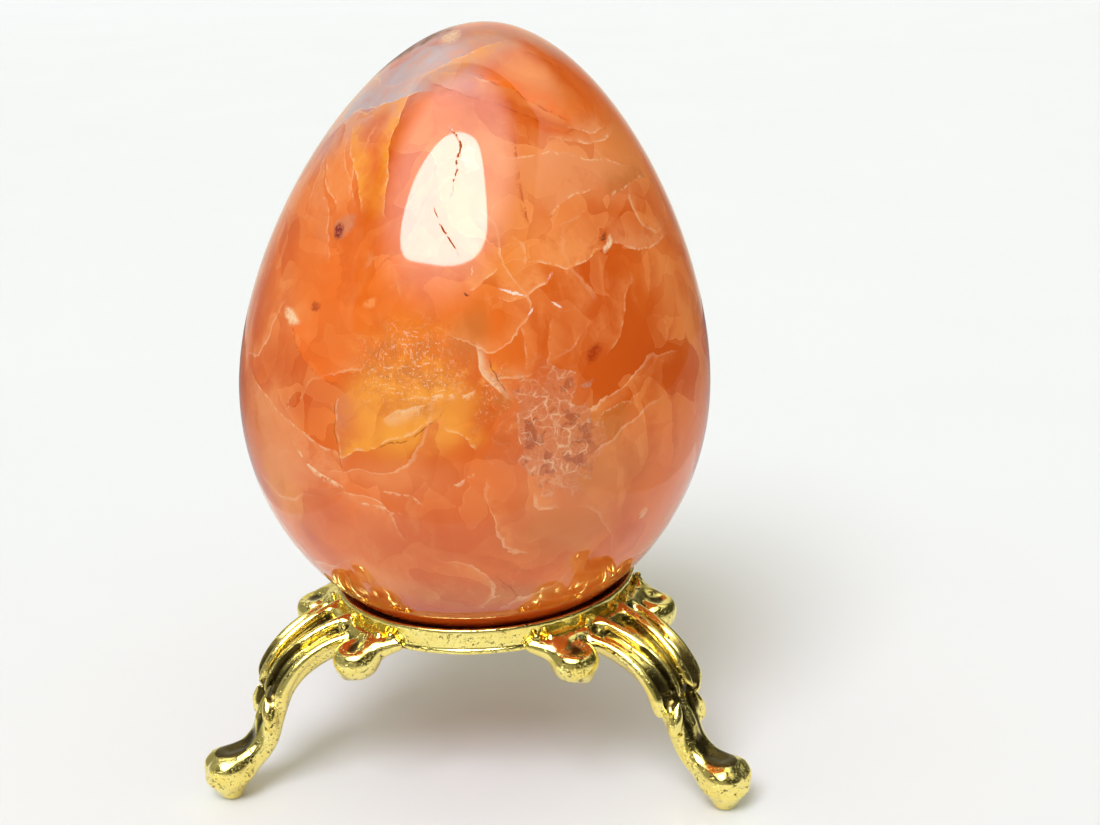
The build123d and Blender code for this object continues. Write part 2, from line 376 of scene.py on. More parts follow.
def stone_material():
    graph = Graph("polished_stone")
    place = graph.place
    drifted = graph.shifted(place, 0.16, 3.0)
    curved = graph.shifted(drifted, 0.7, 0.6)
    jagged = graph.shifted(curved, 2.4, 0.3)
    flaky = graph.span(graph.noise(place, 0.8, 3.0, 0.6), 0.3, 0.6, 0.45, 1.0)
    ragged = graph.shifted(jagged, 0.35, 4.5)
    broken = graph.span(graph.noise(place, 1.4, 3.0, 0.65), 0.44, 0.57)
    from_middle = graph.vector("SUBTRACT", place, egg_middle.tolist())
    down = graph.vector("DOT_PRODUCT", from_middle, (-egg_up).tolist())

    # ground colour: clouds of orange, redder below the surface and paler towards the blunt end
    cloud = graph.noise(drifted, 0.07, 4.0, 0.55)
    colour = graph.mix(graph.span(cloud, 0.42, 0.66), stone["orange"], stone["deep"])
    haze = graph.noise(graph.vector("ADD", drifted, (40.0, 7.0, 19.0)), 0.11, 3.0)
    colour = graph.mix(graph.span(haze, 0.5, 0.74, 0.0, 0.6), colour, stone["apricot"])
    for patch in patches:
        colour = graph.mix(patch_share(graph, drifted, patch, 0.15), colour, stone[patch[5]])

    # feathers of paler stone that run up the egg
    fibre = graph.noise(graph.vector("MULTIPLY", drifted, (1.0, 1.0, 0.25)), 0.5, 3.0, 0.6)
    feather_gate = graph.span(graph.noise(place, 0.06), 0.42, 0.6, 0.1, 1.0)
    feather = graph.math("MULTIPLY", graph.span(fibre, 0.5, 0.7, 0.0, 0.4), feather_gate)
    colour = graph.mix(feather, colour, stone["apricot"])

    # plates of slightly different tone, each with a clean edge that catches the light here and there
    plate_place = graph.shifted(curved, 0.12, 6.0)
    plate_gate = graph.span(graph.noise(place, 0.05), 0.4, 0.56, 0.2, 1.0)
    plate_gate = graph.math("MULTIPLY", plate_gate, graph.span(down, 9.0, -1.0, 0.3, 1.0))
    plate_gate = graph.math("MULTIPLY", plate_gate, graph.span(down, -31.0, -26.0, 0.3, 1.0))
    for size, plate_share in ((0.13, 0.46), (0.3, 0.32)):
        tone = graph.vector("DOT_PRODUCT", graph.cells(plate_place, size, output="Color"), (1.0, 0.0, 0.0))
        paler = graph.math("MULTIPLY", graph.span(tone, 0.58, 0.95, 0.0, plate_share), plate_gate)
        colour = graph.mix(paler, colour, stone["apricot"])
        deeper = graph.math("MULTIPLY", graph.span(tone, 0.58, 0.1, 0.0, 1.2 * plate_share), plate_gate)
        colour = graph.mix(deeper, colour, stone["deep"])
        edge = graph.span(graph.cells(plate_place, size, "DISTANCE_TO_EDGE"), 0.12 * size, 0.0, 0.0, 0.45)
        glint = graph.math("MULTIPLY", edge, graph.math("MULTIPLY", broken, paler))
        colour = graph.mix(glint, colour, stone["cream"])

    for patch in clear_patches:
        colour = graph.mix(patch_share(graph, curved, patch, 0.5), colour, stone[patch[5]])

    # shell-like fractures everywhere, sharp on one side and fading on the other, then the placed ones
    for shift, tint, rim_share in (((0.0, 0.0, 0.0), "apricot", 0.4), ((31.0, 17.0, 5.0), "deep", 0.0)):
        moved = graph.vector("ADD", jagged, shift)
        level = graph.math("FRACT", graph.math("MULTIPLY", graph.noise(moved, 0.045, 1.0), 9.0))
        gate = graph.span(graph.noise(moved, 0.11), 0.44, 0.6)
        gate = graph.math("MULTIPLY", gate, flaky)
        share = graph.math("MULTIPLY", graph.span(level, 0.45, 1.0, 0.0, 0.55), gate)
        colour = graph.mix(share, colour, stone[tint])
        rim = graph.math("MULTIPLY", graph.span(level, 0.93, 0.97, 0.0, rim_share), gate)
        colour = graph.mix(rim, colour, stone["cream"])
    for veil in veils:
        fade, tint = veil[5:7]
        share, rim = veil_share(graph, curved, veil, 0.04)
        breaks = broken if fade < narrow_fade else flaky
        colour = graph.mix(graph.math("MULTIPLY", share, breaks), colour, stone[tint])
        rim = graph.math("MULTIPLY", graph.math("MULTIPLY", rim, broken), 0.6)
        colour = graph.mix(rim, colour, stone["blood" if tint in ("deep", "vivid") else "cream"])
    speckle = graph.span(graph.noise(place, 3.2, 3.0, 0.7), 0.38, 0.54, 0.3, 1.0)
    for mark in marks:
        share = graph.math("MULTIPLY", patch_share(graph, jagged, mark, 0.45), speckle)
        colour = graph.mix(share, colour, stone[mark[5]])

    # sugary pockets and a web of fine cracks
    stretched = [graph.vector("MULTIPLY", jagged, way) for way in ((1, 1, 0.3), (0.3, 1, 1))]
    strokes = [graph.noise(way, 5.0, 2.0, 0.6) for way in stretched]
    grain = graph.math("MAXIMUM", *strokes)
    pocket = graph.math(
        "MAXIMUM",
        patch_share(graph, ragged, (-16, 8.0, 7.5, 5.6, 10, "cream", 1.0), 0.3),
        patch_share(graph, ragged, (3, 6.0, 1.8, 4.6, -20, "cream", 1.0), 0.4),
    )
    sugar = graph.math("MULTIPLY", graph.span(grain, 0.57, 0.7), pocket)
    mottle = graph.noise(jagged, 0.6, 4.0, 0.65)
    tan_share = graph.math("MULTIPLY", pocket, graph.span(mottle, 0.36, 0.56, 0.7, 0.0))
    colour = graph.mix(tan_share, colour, stone["tan"])
    honey_share = graph.math("MULTIPLY", pocket, graph.span(mottle, 0.5, 0.7, 0.0, 0.6))
    colour = graph.mix(honey_share, colour, stone["honey"])
    colour = graph.mix(graph.math("MULTIPLY", sugar, 0.36), colour, stone["cream"])
    web_cell = graph.cells(graph.shifted(curved, 0.5, 1.2), 0.5, output="Position")
    web_zone = patch_share(graph, web_cell, (16.5, 2.8, 6.4, 5.0, -68, "pink", 1.0), 0.6)
    colour = graph.mix(graph.math("MULTIPLY", web_zone, 0.65), colour, stone["pink"])
    tangle = graph.shifted(graph.shifted(place, 0.6, 1.4), 2.0, 0.25)
    web = graph.span(graph.cells(tangle, 0.7, "DISTANCE_TO_EDGE"), 0.09, 0.0)
    fine_web = graph.span(graph.cells(tangle, 1.7, "DISTANCE_TO_EDGE"), 0.12, 0.0, 0.0, 0.4)
    web = graph.math("MULTIPLY", graph.math("MAXIMUM", web, fine_web), web_zone)
    web = graph.math("MULTIPLY", web, graph.span(graph.noise(place, 1.0, 3.0), 0.4, 0.6, 0.15, 1.0))
    stain = graph.math("MULTIPLY", graph.span(graph.noise(tangle, 0.6, 2.0), 0.53, 0.6, 0.0, 0.6), web_zone)
    colour = graph.mix(stain, colour, light(150, 66, 40))
    colour = graph.mix(graph.math("MULTIPLY", web, 0.5), colour, stone["cream"])

    # open cracks, broken here and there
    dashes = graph.span(graph.noise(place, 1.1, 2.0), 0.38, 0.5)
    split = None
    for crack in cracks:
        share = graph.math("MULTIPLY", veil_share(graph, jagged, crack, 0.05)[0], dashes)
        colour = graph.mix(share, colour, stone[crack[6]])
        split = share if split is None else graph.math("MAXIMUM", split, share)

    # less light reaches the stone close to the ring, and a brown rind is left high on one side
    colour = graph.mix(graph.span(down, 15.5, 19.0, 0.0, 0.85), colour, stone["scarlet"])
    torn = graph.shifted(jagged, 0.6, 1.6)
    rind = patch_share(graph, torn, (-96, 34.2, 7.0, 3.2, 80, "rind", 0.95), 0.5)
    rind = graph.math("MULTIPLY", rind, flaky)
    colour = graph.mix(rind, colour, stone["rind"])
    graph.feed(graph.shader.inputs["Base Color"], colour)

    rough = graph.math("ADD", graph.span(sugar, 0.0, 1.0, 0.045, 0.3), graph.math("MULTIPLY", web, 0.25))
    graph.feed(graph.shader.inputs["Roughness"], graph.math("ADD", rough, graph.math("MULTIPLY", rind, 0.4)))
    depth = graph.math("SUBTRACT", graph.math("MULTIPLY", sugar, -0.35), split)
    graph.feed(graph.shader.inputs["Normal"], graph.bump(depth, 0.00005, 0.6))
    graph.shader.inputs["IOR"].default_value = 1.54
    graph.feed(graph.shader.inputs["Specular IOR Level"], graph.span(split, 0.1, 0.5, 0.5, 0.0))
    graph.shader.inputs["Subsurface Weight"].default_value = 0.18
    graph.shader.inputs["Subsurface Radius"].default_value = (1.0, 0.32, 0.1)
    graph.shader.inputs["Subsurface Scale"].default_value = 0.004
    return graph.material


def gilt_material():
    graph = Graph("gilt_casting")
    place = graph.place
    patchy = graph.noise(place, 0.35, 3.0, 0.6)
    colour = graph.mix(graph.span(patchy, 0.35, 0.7), light(255, 240, 148), light(252, 230, 124))
    # recesses are darkened, partly as tarnish and partly as painted shade, and pits gather where the casting
    # was left rough
    recess = graph.add("ShaderNodeAttribute", attribute_name="recess").outputs["Fac"]
    uneven = graph.span(patchy, 0.3, 0.7, -0.15, 0.15)
    tarnish_and_shade = graph.span(graph.math("ADD", recess, uneven), 0.12, 0.8, 0.0, 0.93)
    colour = graph.mix(tarnish_and_shade, colour, light(52, 37, 12))
    rough_zone = graph.span(graph.noise(place, 0.28, 2.0), 0.36, 0.52, 0.1, 1.0)
    from_axis = graph.vector("MULTIPLY", graph.vector("SUBTRACT", place, ring_axis.tolist()), (1.0, 1.0, 0.0))
    on_ring = graph.span(graph.vector("LENGTH", from_axis), 16.4, 16.1)
    rough_zone = graph.math("MAXIMUM", rough_zone, graph.math("MULTIPLY", on_ring, 0.75))
    pit = graph.span(graph.noise(graph.shifted(place, 1.5, 0.6), 2.1, 3.0, 0.65), 0.59, 0.635)
    speck = graph.span(graph.noise(place, 5.0, 2.0, 0.6), 0.62, 0.66, 0.0, 0.5)
    pit = graph.math("MULTIPLY", graph.math("MAXIMUM", pit, speck), rough_zone)
    colour = graph.mix(graph.math("MULTIPLY", pit, 0.9), colour, light(70, 50, 18))
    graph.feed(graph.shader.inputs["Base Color"], colour)
    graph.shader.inputs["Metallic"].default_value = 1.0
    rough = graph.span(graph.noise(place, 0.8, 3.0), 0.3, 0.75, 0.11, 0.22)
    rough = graph.math("ADD", rough, graph.math("MULTIPLY", tarnish_and_shade, 0.15))
    graph.feed(graph.shader.inputs["Roughness"], rough)
    # slow dents of a hand-finished casting, then the pits
    wavy = graph.bump(graph.noise(place, 0.7, 2.0, 0.5), 0.00012, 0.2)
    pitted = graph.bump(graph.math("MULTIPLY", pit, -1.0), 0.00008, 0.6, wavy)
    graph.feed(graph.shader.inputs["Normal"], pitted)
    return graph.material


# Egg piece

egg_detail = 7
ball = bmesh.new()
bmesh.ops.create_icosphere(ball, subdivisions=egg_detail, radius=1.0)
directions = np.array([v.co for v in ball.verts])
egg_faces = [[v.index for v in face.verts] for face in ball.faces]
ball.free()
level = np.clip(directions[:, 2], -1, 1)
reach, height = egg_outline(2 / pi * np.arcsin(level))
around = directions[:, :2] / np.maximum(np.linalg.norm(directions[:, :2], axis=1), 1e-9)[:, None]
sides = around[:, :1] * egg_front + around[:, 1:] * egg_right
egg_points = egg_middle + sides * reach[:, None] + np.outer(height, egg_up)
egg_skin = mesh_object("egg_stone", egg_points, egg_faces, stone_material())
dress(egg_skin, "egg", "egg")


# Stand: solid forms as fields, negative inside, that blend into one skin


def joined(first, second, blend):
    """Smooth union of two fields."""
    share = np.clip(0.5 + 0.5 * (second - first) / blend, 0, 1)
    return second + (first - second) * share - blend * share * (1 - share)


def hollowed(first, second, blend):
    """The first field with the second taken out, its rim rounded."""
    return -joined(-first, second, blend)


def oval(x, y, z, centre, radii):
    """Field of an ellipsoid."""
    p = [(x - centre[0]) / radii[0], (y - centre[1]) / radii[1], (z - centre[2]) / radii[2]]
    near = np.sqrt(p[0] ** 2 + p[1] ** 2 + p[2] ** 2)
    slope = np.sqrt((p[0] / radii[0]) ** 2 + (p[1] / radii[1]) ** 2 + (p[2] / radii[2]) ** 2)
    return near * (near - 1) / np.maximum(slope, 1e-6)


def rod(x, y, z, start, end, start_radius, end_radius):
    """Field of a round rod whose radius changes along it."""
    line = np.subtract(end, start)
    arm = (x - start[0], y - start[1], z - start[2])
    share = np.clip((arm[0] * line[0] + arm[1] * line[1] + arm[2] * line[2]) / (line @ line), 0, 1)
    gap = np.sqrt(sum((a - share * d) ** 2 for a, d in zip(arm, line)))
    return gap - start_radius - share * (end_radius - start_radius)


def curve_through(rows, count):
    """Points on a smooth curve through rows of numbers, evenly shared between them."""
    rows = np.asarray(rows, float)
    padded = np.vstack([2 * rows[0] - rows[1], rows, 2 * rows[-1] - rows[-2]])
    place = np.linspace(0, len(rows) - 1, count)
    number = np.minimum(place.astype(int), len(rows) - 2)
    t = (place - number)[:, None]
    a, b, c, d = (padded[number + k] for k in range(4))
    return 0.5 * (2 * b + (c - a) * t + (2 * a - 5 * b + 4 * c - d) * t**2 + (3 * b - a - 3 * c + d) * t**3)


def skin(field, corner, step):
    """Points and quads along a field's zero level, one point in each grid cell that it passes through."""
    inside = field < 0
    shape = np.array(field.shape)
    corners = np.array([(i, j, k) for i in (0, 1) for j in (0, 1) for k in (0, 1)])
    full = np.zeros(shape - 1, int)
    for i, j, k in corners:
        full += inside[i : shape[0] - 1 + i, j : shape[1] - 1 + j, k : shape[2] - 1 + k]
    cells = np.argwhere((full > 0) & (full < 8))
    numbers = np.full(shape - 1, -1)
    numbers[tuple(cells.T)] = np.arange(len(cells))
    total = np.zeros((len(cells), 3))
    crossings = np.zeros(len(cells))
    for first in corners:
        for axis in range(3):
            if first[axis]:
                continue
            last = first.copy()
            last[axis] = 1
            a = field[tuple((cells + first).T)]
            b = field[tuple((cells + last).T)]
            crossed = (a < 0) != (b < 0)
            share = np.where(crossed, a / np.where(crossed, a - b, 1), 0)
            total += np.where(crossed[:, None], first + np.outer(share, last - first), 0)
            crossings += crossed
    points = (cells + total / crossings[:, None]) * step + corner
    quads = []
    for axis in range(3):
        one, two = (axis + 1) % 3, (axis + 2) % 3
        ahead = np.roll(inside, -1, axis=axis)
        change = np.argwhere(inside != ahead)
        change = change[(change[:, axis] < shape[axis] - 1) & (change[:, one] > 0) & (change[:, two] > 0)]
        steps = np.eye(3, dtype=int)
        ring = [change, change - steps[one], change - steps[one] - steps[two], change - steps[two]]
        loop = np.stack([numbers[tuple(cell.T)] for cell in ring], axis=1)
        outward = inside[tuple(change.T)]
        loop[~outward] = loop[~outward][:, ::-1]
        quads.append(loop)
    return points, np.vstack(quads)


def sampled(field, corner, step, points):
    """Values of a field at points, blended from the eight grid values around each."""
    cell = np.clip((points - corner) / step, 0, np.array(field.shape) - 1.001)
    low = cell.astype(int)
    part = cell - low
    found = 0
    for i in (0, 1):
        for j in (0, 1):
            for k in (0, 1):
                weight = abs(1 - i - part[:, 0]) * abs(1 - j - part[:, 1]) * abs(1 - k - part[:, 2])
                found = found + weight * field[low[:, 0] + i, low[:, 1] + j, low[:, 2] + k]
    return found


def blurred(field, width):
    """The field averaged over a cube of grid values, three times over."""
    for axis in (0, 1, 2) * 3:
        margins = [(0, 0)] * 3
        margins[axis] = (width + 1, width)
        sums = np.cumsum(np.pad(field, margins, "edge"), axis)
        count = field.shape[axis]
        upper = np.take(sums, np.arange(count) + 2 * width + 1, axis)
        field = (upper - np.take(sums, np.arange(count), axis)) / (2 * width + 1)
    return field


def simple(field):
    """The field with pinched grid faces filled, so that no edge of its skin has four faces."""
    for axes in ((0, 1), (0, 2), (1, 2)) * 3:
        inside = field < 0
        first, second = (np.roll(inside, -1, axis) for axis in axes)
        across = np.roll(inside, (-1, -1), axes)
        pinched = (inside == across) & (first == second) & (inside != first)
        for axis in axes:
            pinched |= np.roll(pinched, 1, axis)
        field = np.where(pinched, np.minimum(field, -0.002), field)
    return field


def relaxed(points, quads, field, corner, step, rounds):
    """Points drawn even among their neighbours and set back on the field's zero level."""
    edges = np.vstack([quads[:, [0, 1]], quads[:, [1, 2]], quads[:, [2, 3]], quads[:, [3, 0]]])
    both = np.vstack([edges, edges[:, ::-1]])
    counts = np.bincount(both[:, 0], minlength=len(points))[:, None]

    for _ in range(rounds):
        middle = np.zeros_like(points)
        np.add.at(middle, both[:, 0], points[both[:, 1]])
        points = points + 0.5 * (middle / counts - points)
        slope = np.zeros_like(points)
        for axis in range(3):
            shift = np.zeros(3)
            shift[axis] = step
            ahead = sampled(field, corner, step, points + shift)
            back = sampled(field, corner, step, points - shift)
            slope[:, axis] = (ahead - back) / (2 * step)
        length = np.maximum((slope**2).sum(1), 0.05)
        points = points - slope * (sampled(field, corner, step, points) / length)[:, None]
    return points


# Leg: X points away from the ring's axis, Y across and Z up
leg_step = 0.12
leg_low = np.array([11.52, 0.0, -0.36])
leg_high = np.array([33.2, 12.0, 19.6])
leg_counts = np.ceil((leg_high - leg_low) / leg_step).astype(int)
grid = [leg_low[axis] + leg_step * np.arange(leg_counts[axis]) for axis in range(3)]
x, y, z = np.meshgrid(*grid, indexing="ij")

# middle line: reach, height, half width, then depth over and under the line
leg_line = curve_through(
    [
        (14.6, 16.5, 3.4, 1.0, 2.0),
        (18.0, 16.0, 3.3, 0.95, 2.2),
        (20.4, 15.1, 3.2, 0.85, 2.1),
        (22.3, 13.8, 3.2, 0.8, 1.9),
        (23.7, 12.0, 3.0, 0.75, 1.7),
        (24.5, 9.8, 2.55, 0.9, 1.5),
        (25.1, 7.9, 2.1, 1.2, 1.45),
        (25.8, 6.1, 1.9, 1.35, 1.5),
        (27.2, 4.7, 1.95, 1.35, 1.7),
        (29.2, 4.0, 2.1, 1.2, 1.7),
        (30.6, 3.8, 2.0, 1.1, 1.4),
    ],
    260,
)
tangents = np.gradient(leg_line[:, :2], axis=0)
tangents /= np.linalg.norm(tangents, axis=1)[:, None]
normals = np.stack([-tangents[:, 1], tangents[:, 0]], axis=1)
lengths = np.concatenate([[0], np.cumsum(np.linalg.norm(np.diff(leg_line[:, :2], axis=0), axis=1))])
flat_x, flat_z = np.meshgrid(grid[0], grid[2], indexing="ij")
gaps = (flat_x[..., None] - leg_line[:, 0]) ** 2 + (flat_z[..., None] - leg_line[:, 1]) ** 2
nearest = gaps.argmin(-1)
offset = np.stack([flat_x - leg_line[nearest, 0], flat_z - leg_line[nearest, 1]], axis=-1)
run = (lengths[nearest] + (offset * tangents[nearest]).sum(-1))[:, None, :]
over = (offset * normals[nearest]).sum(-1)[:, None, :]
half_width, rise, fall = (leg_line[nearest, k][:, None, :] for k in (2, 3, 4))

deep = np.where(over > 0, over / rise, -over / fall)
round_share = 2.4
section = (np.abs(y / half_width) ** round_share + deep**round_share) ** (1 / round_share)
leg = (section - 1) * np.minimum(half_width, np.minimum(rise, fall))
leg = np.maximum(leg, np.maximum(-run, run - lengths[-1]))


def along_leg(rows):
    """Field of a cord along the leg, from rows of distance along, across and over its line, and radius."""
    rows = np.asarray(rows, float)
    at = np.clip(run, rows[0, 0], rows[-1, 0])
    across, above, radius = (np.interp(at, rows[:, 0], rows[:, k]) for k in (1, 2, 3))
    return np.sqrt((y - across) ** 2 + (over - above) ** 2 + (run - at) ** 2) - radius


inner_ridge = curve_through(
    [
        (0.5, 2.0, 1.9, 0.5),
        (5.0, 1.55, 1.45, 0.52),
        (8.3, 1.2, 1.3, 0.55),
        (10.6, 1.15, 1.2, 0.57),
        (12.3, 1.45, 1.0, 0.62),
        (13.6, 2.0, 0.8, 0.78),
        (14.7, 2.3, 0.45, 0.74),
    ],
    40,
)
edge_ridge = curve_through(
    [
        (0.5, 4.5, 1.0, 0.5),
        (5.0, 3.8, 0.8, 0.58),
        (8.3, 3.5, 0.6, 0.66),
        (10.3, 3.4, 0.5, 0.75),
        (11.3, 3.35, 0.35, 0.78),
        (12.2, 3.1, 0.1, 0.68),
    ],
    40,
)
leg = joined(leg, along_leg(inner_ridge), 0.3)
leg = joined(leg, along_leg(edge_ridge), 0.3)
shaft_ridge = [(11.0, 0.0, 0.3, 0.4), (13.0, 0.0, 0.75, 0.5), (15.0, 0.0, 1.1, 0.5), (16.4, 0.0, 1.05, 0.45)]
leg = joined(leg, along_leg(shaft_ridge), 0.25)
spoon = [(7.0, 2.5, 1.7, 0.85), (9.5, 2.35, 1.35, 0.95), (11.4, 2.3, 1.0, 0.9)]
spoon_hollow = along_leg(spoon)
leg = hollowed(leg, spoon_hollow, 0.3)
groove = [(11.2, 1.05, 1.0, 0.3), (13.2, 1.0, 1.25, 0.45), (15.5, 0.95, 1.55, 0.45), (17.2, 0.9, 1.6, 0.3)]
groove_hollow = along_leg(groove)
leg = hollowed(leg, groove_hollow, 0.25)

# foot like a drop standing on its point, two lobes on its front and a shallow trough behind them
leg = joined(leg, 0.8 * rod(x, y, z, (29.7, 0, 0.0), (29.9, 0, 2.4), 1.0, 2.5), 1.2)
leg = joined(leg, oval(x, y, z, (30.5, 1.05, 3.75), (1.6, 1.25, 1.0)), 0.8)
instep = [(15.6, 0.0, 2.6, 0.9), (17.5, 0.0, 2.2, 1.1), (19.5, 0.0, 2.1, 1.15), (20.8, 0.0, 2.3, 1.1)]
instep_hollow = along_leg(instep)
leg = hollowed(leg, instep_hollow, 0.6)
leg = np.maximum(leg, -z)

# shoulder along the ring, ear and web: the ear's own axes point away from the ring, away from the leg and up
ear_bearing = radians(22.5)
ear_reach = 18.6
ear_height = 16.5
shoulder_reach = 16.4
shoulder_height = 17.3
shoulder_radius = 0.95
shoulder_past_ear = radians(4)
shoulder_end_reach = 16.5
distance = np.hypot(x, y)
bearing = np.arctan2(y, x)
past = np.maximum(bearing - ear_bearing - shoulder_past_ear, 0) * shoulder_end_reach
from_shoulder = np.sqrt((distance - shoulder_reach) ** 2 + (z - shoulder_height) ** 2 + past**2)
leg = joined(leg, from_shoulder - shoulder_radius, 0.6)
ear_x = x - ear_reach * cos(ear_bearing)
ear_y = y - ear_reach * sin(ear_bearing)
out = ear_x * cos(ear_bearing) + ear_y * sin(ear_bearing)
away = ear_y * cos(ear_bearing) - ear_x * sin(ear_bearing)
up = z - ear_height
ear = oval(out, away, up, (-0.25, 0.0, -0.7), (2.4, 2.45, 2.1))
ear = joined(ear, rod(out, away, up, (0.2, -0.3, -1.2), (0.55, -0.65, -2.1), 1.5, 0.8), 0.5)
ear = hollowed(ear, oval(out, away, up, (0.4, 0.0, 2.55), (2.15, 2.05, 2.1)), 0.7)
leg = joined(leg, ear, 0.45)
leg = joined(leg, rod(out, away, up, (-1.3, 1.2, 0.2), (-2.9, 3.4, 1.0), 1.15, 0.75), 0.8)

# beads of metal and a pocket where the leg meets the ring
beads = [(12, 16.5, 18.7, 0.4), (28, 16.5, 18.3, 0.42), (33, 16.3, 18.45, 0.45)]
for bead_bearing, bead_reach, bead_height, bead_radius in beads:
    place = (bead_reach * cos(radians(bead_bearing)), bead_reach * sin(radians(bead_bearing)), bead_height)
    leg = joined(leg, oval(x, y, z, place, (bead_radius,) * 3), 0.15)
leg = hollowed(leg, oval(x, y, z, (17.0, 3.2, 18.0), (0.6, 0.6, 0.7)), 0.2)
leg_inner_reach = 15.6
leg = np.maximum(leg, leg_inner_reach - distance)

whole = simple(blurred(np.concatenate([leg[:, :0:-1], leg], axis=1), 1))
# no hollow is cut on the toe's top; it is only darkened like the hollows, with tarnish and painted shade
toe_tarnish_shade = oval(x, y, z, (29.2, 0, 5.2), (1.7, 1.3, 1.1))
shaft_hollows = np.minimum(spoon_hollow, groove_hollow + 0.05)
foot_hollows = np.minimum(instep_hollow, toe_tarnish_shade) - 0.1
hollows = np.minimum(shaft_hollows, foot_hollows)
whole_hollows = np.concatenate([hollows[:, :0:-1], hollows], axis=1)
whole_low = leg_low - [0, (leg_counts[1] - 1) * leg_step, 0]
leg_points, leg_quads = skin(whole, whole_low, leg_step)
leg_points = relaxed(leg_points, leg_quads, whole, whole_low, leg_step, 3)

# recess: 1 where metal stands close on several sides or in a hollow, and 0 on open faces; the gilt is
# darkened by it, partly as tarnish and partly as painted shade
fine_depth = 0.09
broad_depth = 0.3
hollow_fade = 0.3
nearby = np.clip(whole, -1.5, 1.5)
fine_recess = -sampled(blurred(nearby, 3), whole_low, leg_step, leg_points) / fine_depth
broad_recess = -sampled(blurred(nearby, 7), whole_low, leg_step, leg_points) / broad_depth
in_hollow = 1 - sampled(whole_hollows, whole_low, leg_step, leg_points) / hollow_fade
recess = np.clip(np.maximum(np.maximum(fine_recess, broad_recess), in_hollow), 0, 1)
gilt = gilt_material()
for name, leg_bearing in leg_bearings.items():
    turn = np.array(Matrix.Rotation(radians(leg_bearing), 3, "Z"))
    cast_leg = mesh_object("cast_" + name, leg_points @ turn.T + ring_axis, leg_quads, gilt)
    dress(cast_leg, "stand", name)
    cast_leg.data.attributes.new("recess", "FLOAT", "POINT").data.foreach_set("value", recess)


# Ring: an outline of reach and height, turned about the axis, with a little unevenness on the outside

ring_outline = curve_through(
    [
        (13.62, 17.75),
        (13.62, 18.7),
        (14.3, 19.23),
        (14.9, 19.44),
        (15.4, 19.58),
        (15.68, 19.74),
        (15.86, 19.76),
        (16.02, 19.62),
        (16.06, 19.3),
        (15.98, 18.7),
        (15.93, 18.0),
        (15.93, 17.7),
        (16.06, 17.45),
        (16.02, 17.15),
        (15.7, 17.02),
        (14.6, 17.02),
        (13.85, 17.2),
        (13.62, 17.75),
    ],
    110,
)[:-1]
ring_turns = 360
uneven_from = 15.2
uneven_over = 0.6
uneven_inset = 0.04
# the gilt of the seat inside the lip is darkened, more the further inward it lies
seat_dark_within = 15.5
seat_dark_over = 0.2
seat_dark_share = 0.6
ring_points = []
ring_recess = []
for number in range(ring_turns):
    angle = 2 * pi * number / ring_turns
    for reach, height in ring_outline:
        at = Vector((reach * cos(angle), reach * sin(angle), height))
        uneven = 0.05 * noise.noise(at * 0.5) + 0.03 * noise.noise(at * 1.6)
        outer = min(max((reach - uneven_from) / uneven_over, 0), 1)
        reach -= outer * (uneven_inset + uneven)
        ring_recess.append(seat_dark_share * min(max((seat_dark_within - reach) / seat_dark_over, 0), 1))
        ring_points.append((reach * cos(angle), reach * sin(angle) + ring_axis[1], height))
per_turn = len(ring_outline)
ring_quads = []
for number in range(ring_turns):
    here = number * per_turn
    there = (number + 1) % ring_turns * per_turn
    for k in range(per_turn):
        following = (k + 1) % per_turn
        ring_quads.append([here + k, here + following, there + following, there + k])
seat = mesh_object("cast_ring", ring_points, ring_quads, gilt)
dress(seat, "stand", "seat_ring")
seat.data.attributes.new("recess", "FLOAT", "POINT").data.foreach_set("value", ring_recess)


# Stage: a pale floor that sweeps up behind, and glowing panels that only reflections show


def plain_material(name, colour, roughness):
    graph = Graph(name)
    grain = graph.noise(graph.place, 0.02, 3.0)
    darker = [0.97 * part for part in colour[:3]] + [1.0]
    graph.feed(graph.shader.inputs["Base Color"], graph.mix(grain, colour, darker))
    graph.shader.inputs["Roughness"].default_value = roughness
    graph.shader.inputs["Specular IOR Level"].default_value = 0.2
    return graph.material


paper = plain_material("pale_paper", light(230, 232, 232), 0.7)
floor_level = -0.03
near_reach = 60
far_reach = 8000
sweep_start = 1200
sweep_radius = 300
sweep_steps = 16
backdrop_top = 900
sweep_line = [(near_reach, floor_level), (sweep_start, floor_level)]
for number in range(1, sweep_steps + 1):
    angle = pi / 2 * number / sweep_steps
    sweep_height = sweep_radius - sweep_radius * cos(angle) + floor_level
    sweep_line.append((sweep_start + sweep_radius * sin(angle), sweep_height))
sweep_line.append((sweep_start + sweep_radius, backdrop_top))


def floor_strip(name, left, right, line, mirrored):
    """A strip of the floor and backdrop along a line of reach and height."""
    points = [(side, reach, height) for side in (left, right) for reach, height in line]
    count = len(line)
    quads = [[k, k + count, k + count + 1, k + 1] for k in range(count - 1)]
    strip = mesh_object(name, points, quads, paper)
    strip.visible_glossy = mirrored


# only the floor close to the part is mirrored in it
near_line = [(-near_reach, floor_level), (near_reach, floor_level)]
front_line = [(-far_reach, floor_level), (-near_reach, floor_level)]
floor_strip("near_floor", -near_reach, near_reach, near_line, True)
floor_strip("left_floor", -far_reach, -near_reach, near_line, False)
floor_strip("right_floor", near_reach, far_reach, near_line, False)
floor_strip("front_floor", -far_reach, far_reach, front_line, False)
floor_strip("sweep", -far_reach, far_reach, sweep_line, False)

window_middle = np.array([-73.0, -289.0, 465.0])
window_right = np.array([0.969, -0.247, 0.0])
window_up = np.array([0.2, 0.783, 0.588])
window_outline = [
    (-160, 10),
    (-105, 72),
    (-45, 106),
    (25, 118),
    (100, 108),
    (150, 60),
    (205, -30),
    (225, -95),
    (185, -150),
    (80, -182),
    (-60, -182),
    (-150, -165),
    (-185, -115),
    (-182, -50),
]


